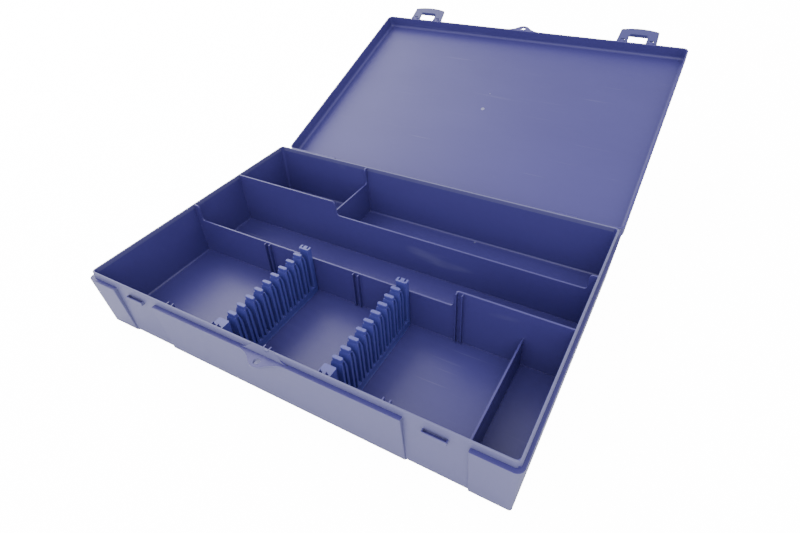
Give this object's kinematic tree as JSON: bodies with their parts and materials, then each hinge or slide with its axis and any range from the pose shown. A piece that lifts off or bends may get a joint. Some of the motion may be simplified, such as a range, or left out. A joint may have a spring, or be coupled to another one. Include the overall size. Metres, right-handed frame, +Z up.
{
  "type": "knife case",
  "caption": "Hinged moulded plastic case for kitchen knives, with compartments, toothed lift-out knife racks, snap latches and padlock tabs; lid shown open.",
  "frame": {"origin": "middle of the tray's flat underside, which stands on the table", "axes": "+X along the tray's length to the right as seen from the latch side, +Y to the hinge side, +Z up; the lid leans back open at rest"},
  "size_m": [0.4672, 0.6656, 0.1774],
  "materials": {
    "tray_plastic": "satin moulded polypropylene, blue-violet",
    "lid_plastic": "satin moulded polypropylene, blue-violet",
    "latch_plastic": "satin moulded polypropylene, blue-violet",
    "rack_plastic": "satin moulded polypropylene, blue-violet",
    "pin_steel": "drawn steel rod"
  },
  "bodies": {
    "base": {"base_tray": "tray_plastic", "hinge_pin_left": "pin_steel", "hinge_pin_right": "pin_steel"},
    "lid": {"lid": "lid_plastic"},
    "latch_left": {"latch_left": "latch_plastic"},
    "latch_right": {"latch_right": "latch_plastic"},
    "rack_left": {"rack_left": "rack_plastic"},
    "rack_right": {"rack_right": "rack_plastic"}
  },
  "joints": [
    {"name": "lid_hinge", "type": "hinge", "parent": "base", "child": "lid", "pos_m": [0, 0.1652, 0.0593], "axis": [-1, 0, 0], "range_deg": [-160.5, 0]},
    {"name": "latch_left_hinge", "type": "hinge", "parent": "lid", "child": "latch_left", "pos_m": [-0.165, 0.47542, 0.16406], "axis": [-1, 0, 0], "range_deg": [-90, 0]},
    {"name": "latch_right_hinge", "type": "hinge", "parent": "lid", "child": "latch_right", "pos_m": [0.165, 0.47542, 0.16406], "axis": [-1, 0, 0], "range_deg": [-90, 0]},
    {"name": "rack_left_slide", "type": "slide", "parent": "base", "child": "rack_left", "axis": [0, 0, 1], "range_m": [0, 0.06]},
    {"name": "rack_right_slide", "type": "slide", "parent": "base", "child": "rack_right", "axis": [0, 0, 1], "range_m": [0, 0.06]}
  ]
}
